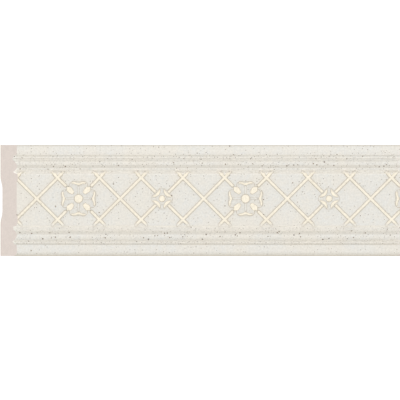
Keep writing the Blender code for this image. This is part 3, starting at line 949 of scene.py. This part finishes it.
class MOULDING_OT_small_rosettes(bpy.types.Operator):
    """Add the small rosettes: an eight-sided ground, four lenses, leaves and a button"""

    bl_idname = "moulding.small_rosettes"
    bl_label = "Add Small Rosettes"
    bl_options = {"REGISTER", "UNDO"}

    def execute(self, context):
        scene = context.scene
        rosette = scene.moulding_small
        carving = scene.moulding_carving
        depth = scene.moulding_run.field_depth
        reach = rosette.reach
        flat = rosette.flat
        outline = [(flat, reach), (reach, flat), (reach, -flat), (flat, -reach),
                   (-flat, -reach), (-reach, -flat), (-reach, flat), (-flat, reach)]
        ground = raised_plate("small_rosette", outline, depth,
                              dished(carving, rosette.ground, rosette.dish))
        leaf = rib("leaf", rosette.leaf_inner, rosette.leaf_outer,
                   rosette.leaf_half_width, rosette.leaf_relief,
                   rosette.ground - rosette.dish, carving, depth)
        rosette_from(ground, button(rosette, carving, depth),
                     ((lens(rosette, carving, depth), math.pi / 4), (leaf, 0.0)))
        set_at_nodes(ground, scene.moulding_lattice, SMALL_PLACE)
        return {"FINISHED"}


def cut_end(body, place, normal):
    """Cut the body across, drop what is beyond the plane and fill the cut with foam."""
    with editing(body):
        bpy.ops.mesh.bisect(plane_co=place, plane_no=normal, use_fill=True,
                            clear_outer=True, threshold=WELD)
        body.active_material_index = FOAM_SLOT
        bpy.ops.object.material_slot_assign()


def bare_back(body):
    """Give the bare foam to the faces that look at the wall."""
    for face in body.data.polygons:
        if face.normal.y > FACING_WALL:
            face.material_index = FOAM_SLOT


def keep_cuts_flat(body):
    """Shade the cut ends flat up to their arrises."""
    for face in body.data.polygons:
        if face.material_index == FOAM_SLOT and face.normal.y < FACING_WALL:
            face.use_smooth = False


def mark_relief(body, run):
    """Write how far each corner of the mesh stands over the plain run."""
    outline = face_outline(run)
    marks = body.data.attributes.new("relief", "FLOAT", "POINT")
    reach = run.softening
    for vertex, mark in zip(body.data.vertices, marks.data):
        height = vertex.co.z - CAD_LOW.z
        plain = max(depth_on(outline, height + step) for step in (-reach, 0.0, reach))
        mark.value = max(0.0, -vertex.co.y - plain)


class MOULDING_OT_assemble(bpy.types.Operator):
    """Join the ornament to the run, cut the ends and give the moulding its finish"""

    bl_idname = "moulding.assemble"
    bl_label = "Join, Cut and Finish"
    bl_options = {"REGISTER", "UNDO"}

    def execute(self, context):
        scene = context.scene
        body = scene.objects.get("wall_moulding")
        if body is None:
            raise RuntimeError("the plain run comes before the joining")
        ornament = raised_pieces()
        unite(body, ornament, "Ornament")
        body.data.materials.clear()
        body.data.materials.append(coat_material(scene.moulding_finish,
                                                 scene.moulding_lattice))
        body.data.materials.append(foam_material(scene.moulding_finish))
        cut_end(body, (CAD_HIGH.x, 0.0, 0.0), (1.0, 0.0, 0.0))
        cut_end(body, (CAD_LOW.x, 0.0, 0.0), (-1.0, -1.0, 0.0))
        bare_back(body)
        mark_relief(body, scene.moulding_run)
        select_only(body)
        bpy.ops.object.shade_smooth_by_angle(angle=SMOOTH_ANGLE)
        keep_cuts_flat(body)
        apply_modifier(body, "WEIGHTED_NORMAL", mode="FACE_AREA", weight=50,
                       keep_sharp=True)
        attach(body, "root")
        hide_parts("moulding")
        return {"FINISHED"}


def new_material(name, roughness, finish):
    material = bpy.data.materials.new(name)
    material.use_nodes = True
    shader = material.node_tree.nodes["Principled BSDF"]
    shader.inputs["Roughness"].default_value = roughness
    shader.inputs["Specular IOR Level"].default_value = finish.specular
    return material, shader


def add_node(tree, kind, **settings):
    node = tree.nodes.new(kind)
    for name, value in settings.items():
        setattr(node, name, value)
    return node


def feed(tree, socket, value):
    """Link the value to the socket, or set the socket to a number or a colour."""
    if isinstance(value, bpy.types.NodeSocket):
        tree.links.new(value, socket)
    elif isinstance(value, (int, float)):
        socket.default_value = value
    else:
        socket.default_value = (*value, 1.0)


def noise(tree, place, scale, detail, roughness=0.5):
    """The value of a noise texture at the place, in features per metre."""
    texture = add_node(tree, "ShaderNodeTexNoise")
    texture.inputs["Scale"].default_value = scale
    texture.inputs["Detail"].default_value = detail
    texture.inputs["Roughness"].default_value = roughness
    tree.links.new(place, texture.inputs["Vector"])
    return texture.outputs["Fac"]


def mapped(tree, value, low, high, to_low=0.0, to_high=1.0):
    """The value stretched from one range to another, with soft ends."""
    node = add_node(tree, "ShaderNodeMapRange", interpolation_type="SMOOTHSTEP")
    tree.links.new(value, node.inputs["Value"])
    for name, number in (("From Min", low), ("From Max", high), ("To Min", to_low),
                         ("To Max", to_high)):
        node.inputs[name].default_value = number
    return node.outputs["Result"]


def faded(tree, value, fade):
    """One before the range of a fade and nothing past it."""
    return mapped(tree, value, *fade, to_low=1.0, to_high=0.0)


def combined(tree, operation, first, second=0.0):
    """A math node on two values, each a socket or a number."""
    node = add_node(tree, "ShaderNodeMath", operation=operation)
    feed(tree, node.inputs[0], first)
    feed(tree, node.inputs[1], second)
    return node.outputs["Value"]


def product(tree, first, *others):
    for other in others:
        first = combined(tree, "MULTIPLY", first, other)
    return first


def mixed(tree, mask, first, second, blend="MIX"):
    """A mix of two colours by a mask, each of the three a socket or a value."""
    node = add_node(tree, "ShaderNodeMix", data_type="RGBA", blend_type=blend)
    feed(tree, node.inputs["Factor"], mask)
    feed(tree, node.inputs[6], first)
    feed(tree, node.inputs[7], second)
    return node.outputs[2]


def in_bands(tree, height, bands):
    """A mask with its own strength inside each soft-edged (low, high, strength) band."""
    mask = 0.0
    for low, high, strength in bands:
        above = mapped(tree, height, low - BAND_SOFTNESS, low, to_high=strength)
        below = faded(tree, height, (high, high + BAND_SOFTNESS))
        mask = combined(tree, "MAXIMUM", product(tree, above, below), mask)
    return mask


def specks(tree, place, scale, chance, smallest, largest):
    """A mask of small round specks, and a number that differs from speck to speck."""
    cells = add_node(tree, "ShaderNodeTexVoronoi", feature="F1")
    cells.inputs["Scale"].default_value = scale
    tree.links.new(place, cells.inputs["Vector"])
    split = add_node(tree, "ShaderNodeSeparateColor")
    tree.links.new(cells.outputs["Color"], split.inputs["Color"])
    radius = mapped(tree, split.outputs["Green"], 0.0, 1.0, smallest, largest)
    inside = combined(tree, "SUBTRACT", radius, cells.outputs["Distance"])
    shown = combined(tree, "LESS_THAN", split.outputs["Red"], chance)
    return product(tree, mapped(tree, inside, 0.0, 0.02), shown), split.outputs["Blue"]


def grain_group():
    """Fine grain of a coat or foam: a height that feeds bump and a value for its tone."""
    group = bpy.data.node_groups.get("Fine grain")
    if group:
        return group
    group = bpy.data.node_groups.new("Fine grain", "ShaderNodeTree")
    group.interface.new_socket("Place", in_out="INPUT", socket_type="NodeSocketVector")
    for name, default in (("Scale", 900.0), ("Roughness", 0.6)):
        socket = group.interface.new_socket(name, in_out="INPUT",
                                            socket_type="NodeSocketFloat")
        socket.default_value = default
    group.interface.new_socket("Height", in_out="OUTPUT", socket_type="NodeSocketFloat")
    group.interface.new_socket("Tone", in_out="OUTPUT", socket_type="NodeSocketFloat")
    source = add_node(group, "NodeGroupInput")
    result = add_node(group, "NodeGroupOutput")
    for output, share in (("Height", 1.0), ("Tone", 0.55)):
        texture = add_node(group, "ShaderNodeTexNoise")
        texture.inputs["Detail"].default_value = 3.0
        group.links.new(source.outputs["Place"], texture.inputs["Vector"])
        group.links.new(product(group, source.outputs["Scale"], share),
                        texture.inputs["Scale"])
        group.links.new(source.outputs["Roughness"], texture.inputs["Roughness"])
        group.links.new(texture.outputs["Fac"], result.inputs[output])
    return group


def grain(tree, place, scale, roughness):
    """The height and the tone of the fine grain at the place."""
    node = add_node(tree, "ShaderNodeGroup")
    node.node_tree = grain_group()
    tree.links.new(place, node.inputs["Place"])
    node.inputs["Scale"].default_value = scale
    node.inputs["Roughness"].default_value = roughness
    return node.outputs["Height"], node.outputs["Tone"]


def toned(tree, shader, colour_in, shade):
    """Feed the shader the colour, made a little lighter and darker by the shade."""
    tree.links.new(mixed(tree, 1.0, colour_in, shade, blend="MULTIPLY"),
                   shader.inputs["Base Color"])


def bumped(tree, shader, height, strength, distance):
    bump = add_node(tree, "ShaderNodeBump")
    bump.inputs["Strength"].default_value = strength
    bump.inputs["Distance"].default_value = distance
    tree.links.new(height, bump.inputs["Height"])
    tree.links.new(bump.outputs["Normal"], shader.inputs["Normal"])


def measured_surface(tree):
    """What the coat follows on the surface, each a socket."""
    coordinates = add_node(tree, "ShaderNodeTexCoord")
    place = coordinates.outputs["Object"]
    parts = add_node(tree, "ShaderNodeSeparateXYZ")
    tree.links.new(place, parts.inputs["Vector"])
    facing = add_node(tree, "ShaderNodeSeparateXYZ")
    tree.links.new(coordinates.outputs["Normal"], facing.inputs["Vector"])
    marks = add_node(tree, "ShaderNodeAttribute", attribute_name="relief",
                     attribute_type="GEOMETRY")
    height = combined(tree, "SUBTRACT", parts.outputs["Z"], CAD_LOW.z)
    from_middle = combined(tree, "ABSOLUTE",
                           combined(tree, "SUBTRACT", height, FIELD_MIDDLE))
    return SimpleNamespace(place=place, along=parts.outputs["X"], height=height,
                           from_middle=from_middle,
                           on_mouldings=mapped(tree, from_middle, *MOULDINGS_BEGIN),
                           slope=combined(tree, "ADD", facing.outputs["Y"], 1.0),
                           relief=marks.outputs["Fac"])


def clouded_film(tree, place, finish):
    """The coat's own colour, with warm clouds and smaller warm flecks."""
    clouds = mapped(tree, noise(tree, place, scale=34.0, detail=4.0, roughness=0.55),
                    0.40, 0.66)
    flecks = mapped(tree, noise(tree, place, scale=260.0, detail=5.0, roughness=0.7),
                    0.3, 0.7, to_high=0.7)
    film = mixed(tree, clouds, finish.film, finish.film_warm)
    return mixed(tree, flecks, film, finish.film_warm)


def run_with_painted_light_and_shade(tree, surface, film, finish, lattice):
    """Painted grey shade in the grooves and on the arrises, painted brown shade under the
    bottom edge, painted light on the margins and slopes.
    """
    # Painted shade: darker grey in the lower fillet and near the crowns of both beads.
    film = mixed(tree, in_bands(tree, surface.height, GREY_SHADE_BANDS), film, finish.grey_painted_shade)
    # Painted light: the paler coat lifts the shade of the margins, slopes and grooves.
    film = mixed(tree, in_bands(tree, surface.height, PAINTED_LIGHT_BANDS), film, finish.pale)
    # Painted light that lifts the shade on the upper margin between the bars' tips.
    first_crossing = CAD_LOW.x + lattice.first_node + lattice.spacing / 2
    from_crossing = combined(tree, "PINGPONG",
                             combined(tree, "SUBTRACT", surface.along, first_crossing),
                             lattice.spacing / 2)
    lit_patches = product(tree, in_bands(tree, surface.height, LIT_PATCH_BANDS),
                      faded(tree, from_crossing, LIT_PATCH_ENDS))
    film = mixed(tree, lit_patches, film, finish.pale)
    # Painted shade on the rounded arrises of the top and bottom edges.
    arrises = combined(tree, "MAXIMUM", mapped(tree, surface.height, *TOP_ARRIS),
                       mapped(tree, surface.height, *BOTTOM_ARRIS))
    film = mixed(tree, product(tree, arrises, finish.arris_shade), film, finish.grey_painted_shade)
    # Painted brown shade under the bottom edge.
    under = mapped(tree, surface.height, *UNDER_EDGE, to_high=finish.under_shade)
    return mixed(tree, under, film, finish.brown_wash_and_shade)


def ornament_wash_and_shade(tree, surface, film, finish):
    """The brown wash and painted shade at the foot and on the sides of the ornament, and a
    little painted grey shade in the dishes.
    """
    ornament = product(tree, mapped(tree, surface.relief, *ORNAMENT_BEGINS),
                       faded(tree, surface.on_mouldings, (0.0, 1.0)))
    on_tip = mapped(tree, surface.from_middle, *TIPS_BEGIN)
    # Brown wash and painted shade in the crease at the ornament's foot.
    foot = product(tree, ornament, faded(tree, surface.relief, FOOT_ENDS),
                   mapped(tree, on_tip, 0.0, 1.0, finish.wash_and_shade_at_foot, finish.tip_wash_and_shade_at_foot))
    film = mixed(tree, foot, film, finish.brown_wash_and_shade)
    # Painted grey shade in the hollow of the rosettes' dishes.
    dish = product(tree, mapped(tree, surface.relief, *DISH_BEGINS),
                   faded(tree, surface.relief, DISH_ENDS), finish.dish_shade)
    film = mixed(tree, dish, film, finish.grey_painted_shade)
    # Brown wash and painted shade on the ornament's sloping sides, less on the steepest ones,
    # which shade themselves.
    ragged = product(tree, noise(tree, surface.place, scale=700.0, detail=2.0), 0.08)
    steep = mapped(tree, combined(tree, "ADD", surface.slope, ragged), *SIDE_BEGINS)
    eased_on_steepest = mapped(tree, surface.slope, *SIDE_STEEPEST, to_low=1.0, to_high=0.5)
    side = product(tree, steep, eased_on_steepest, ornament,
                   mapped(tree, on_tip, 0.0, 1.0, finish.wash_and_shade_on_sides, finish.tip_wash_and_shade_on_sides))
    return mixed(tree, side, film, finish.brown_wash_and_shade)


def cream_crowns(tree, surface, finish):
    """A mask of the ornament's level crowns, weaker on the lowest tips of the bars."""
    return product(tree, mapped(tree, surface.relief, *CROWN_BEGINS),
                   faded(tree, surface.slope, LEVEL_ENDS),
                   mapped(tree, surface.height, *LOW_TIPS, to_low=finish.low_tip_cream))


def speckled(tree, surface, film, cream, finish):
    """The film with its dark specks, thick on the mouldings and weaker on the cream."""
    in_moulding = product(tree, surface.on_mouldings,
                          faded(tree, surface.from_middle, MOULDINGS_END))
    for scale, field_chance, chance, smallest, largest, strength in SPECK_LAYERS:
        likely = mapped(tree, in_moulding, 0.0, 1.0, field_chance, chance)
        dots, tint = specks(tree, surface.place, scale, likely, smallest, largest)
        speck_tone = mixed(tree, product(tree, tint, 0.5), finish.speck, finish.brown_wash_and_shade)
        shown = product(tree, dots, mapped(tree, cream, 0.0, 1.0, strength, strength / 2))
        film = mixed(tree, shown, film, speck_tone)
    return film


def coat_material(finish, lattice):
    """The speckled coat: cream crowns, brown wash and painted shade on the sides, painted
    shade in the grooves, painted light on the slopes.
    """
    material, shader = new_material("Speckled coat", finish.coat_roughness, finish)
    tree = material.node_tree
    surface = measured_surface(tree)
    height, tone = grain(tree, surface.place, scale=1100.0, roughness=0.6)
    film = clouded_film(tree, surface.place, finish)
    film = run_with_painted_light_and_shade(tree, surface, film, finish, lattice)
    film = ornament_wash_and_shade(tree, surface, film, finish)
    cream = cream_crowns(tree, surface, finish)
    film = mixed(tree, cream, film, finish.cream)
    film = speckled(tree, surface, film, cream, finish)
    toned(tree, shader, film, mapped(tree, tone, 0.3, 0.7, to_low=0.93, to_high=1.055))
    tree.links.new(mapped(tree, cream, 0.0, 1.0, finish.coat_roughness,
                          finish.crown_roughness), shader.inputs["Roughness"])
    bumped(tree, shader, height, strength=0.25, distance=0.00012)
    return material


def foam_material(finish):
    """Bare foam: fine closed cells, slightly streaked along the run."""
    material, shader = new_material("Bare foam", finish.foam_roughness, finish)
    tree = material.node_tree
    place = add_node(tree, "ShaderNodeTexCoord").outputs["Object"]
    height, tone = grain(tree, place, scale=1700.0, roughness=0.7)
    drawn_out = add_node(tree, "ShaderNodeMapping")
    drawn_out.inputs["Scale"].default_value = (0.06, 1.0, 1.0)
    tree.links.new(place, drawn_out.inputs["Vector"])
    streaks = mapped(tree, noise(tree, drawn_out.outputs["Vector"], scale=420.0, detail=3.0),
                     0.3, 0.7, to_low=0.97, to_high=1.02)
    cells = mapped(tree, tone, 0.25, 0.75, to_low=0.955, to_high=1.035)
    toned(tree, shader, finish.foam, product(tree, streaks, cells))
    bumped(tree, shader, height, strength=0.35, distance=0.00015)
    return material


def floor_material(finish):
    """A plain pale floor with a faint grain."""
    material, shader = new_material("Pale floor", finish.floor_roughness, finish)
    tree = material.node_tree
    place = add_node(tree, "ShaderNodeTexCoord").outputs["Object"]
    height, tone = grain(tree, place, scale=120.0, roughness=0.5)
    toned(tree, shader, finish.floor,
          mapped(tree, tone, 0.3, 0.7, to_low=0.985, to_high=1.01))
    bumped(tree, shader, height, strength=0.05, distance=0.0005)
    return material


class MOULDING_OT_stage(bpy.types.Operator):
    """Add the pale floor, the soft light and the camera in front of the face"""

    bl_idname = "moulding.stage"
    bl_label = "Add Stage"
    bl_options = {"REGISTER", "UNDO"}

    def execute(self, context):
        scene = context.scene
        stage = scene.moulding_stage
        deselect_all()
        bpy.ops.mesh.primitive_plane_add(
            size=stage.floor_size, location=(0.0, 0.0, stage.aim_height - stage.floor_drop))
        floor = context.active_object
        floor.name = "floor"
        bpy.ops.object.transform_apply(location=True, rotation=True, scale=True)
        floor.data.materials.append(floor_material(scene.moulding_finish))

        world = bpy.data.worlds.new("Studio")
        world.use_nodes = True
        background = world.node_tree.nodes["Background"]
        background.inputs["Color"].default_value = (1.0, 1.0, 1.0, 1.0)
        background.inputs["Strength"].default_value = stage.world_strength
        scene.world = world
        scene.view_settings.view_transform = "Standard"

        bpy.ops.object.light_add(type="AREA", location=stage.key_place)
        key = context.active_object
        key.name = "key_light"
        key.data.energy = stage.key_power
        key.data.size = stage.key_size
        aim = Vector((0.0, 0.0, stage.aim_height)) - key.location
        key.rotation_euler = aim.to_track_quat("-Z", "Y").to_euler()

        distance = stage.frame_width * stage.lens / stage.sensor_width
        bpy.ops.object.camera_add(
            location=(stage.aim_along, -(distance + stage.face_depth), stage.aim_height),
            rotation=(math.pi / 2, 0.0, 0.0))
        camera = context.active_object
        camera.data.sensor_width = stage.sensor_width
        camera.data.lens = stage.lens
        camera.data.clip_end = 2 * distance
        scene.camera = camera
        return {"FINISHED"}


class MOULDING_PT_sidebar(bpy.types.Panel):
    """Sizes, colours and steps of the moulding"""

    bl_idname = "MOULDING_PT_sidebar"
    bl_label = "Wall Moulding"
    bl_space_type = "VIEW_3D"
    bl_region_type = "UI"
    bl_category = "Moulding"

    def draw(self, context):
        scene = context.scene
        for operator in OPERATORS:
            self.layout.operator(operator.bl_idname)
        for label, settings in (("Run", scene.moulding_run),
                                ("Lattice", scene.moulding_lattice),
                                ("Large rosette", scene.moulding_large),
                                ("Small rosette", scene.moulding_small),
                                ("Carving", scene.moulding_carving),
                                ("Finish", scene.moulding_finish),
                                ("Stage", scene.moulding_stage)):
            box = self.layout.box()
            box.label(text=label)
            for name in settings.__annotations__:
                box.prop(settings, name)


SETTINGS = {"moulding_run": RunSizes, "moulding_lattice": LatticeSizes,
            "moulding_large": LargeRosetteSizes, "moulding_small": SmallRosetteSizes,
            "moulding_carving": CarvingSizes, "moulding_finish": FinishSettings,
            "moulding_stage": StageSettings}
OPERATORS = (MOULDING_OT_run, MOULDING_OT_lattice, MOULDING_OT_large_rosettes,
             MOULDING_OT_small_rosettes, MOULDING_OT_assemble, MOULDING_OT_stage)


def register():
    for settings in SETTINGS.values():
        bpy.utils.register_class(settings)
    for operator in OPERATORS:
        bpy.utils.register_class(operator)
    bpy.utils.register_class(MOULDING_PT_sidebar)
    for name, settings in SETTINGS.items():
        setattr(bpy.types.Scene, name, PointerProperty(type=settings))


def unregister():
    for name in SETTINGS:
        delattr(bpy.types.Scene, name)
    bpy.utils.unregister_class(MOULDING_PT_sidebar)
    for operator in reversed(OPERATORS):
        bpy.utils.unregister_class(operator)
    for settings in SETTINGS.values():
        bpy.utils.unregister_class(settings)


def main():
    register()
    bpy.ops.moulding.run()
    bpy.ops.moulding.lattice()
    bpy.ops.moulding.large_rosettes()
    bpy.ops.moulding.small_rosettes()
    bpy.ops.moulding.assemble()
    bpy.ops.moulding.stage()


if __name__ == "__main__":
    main()
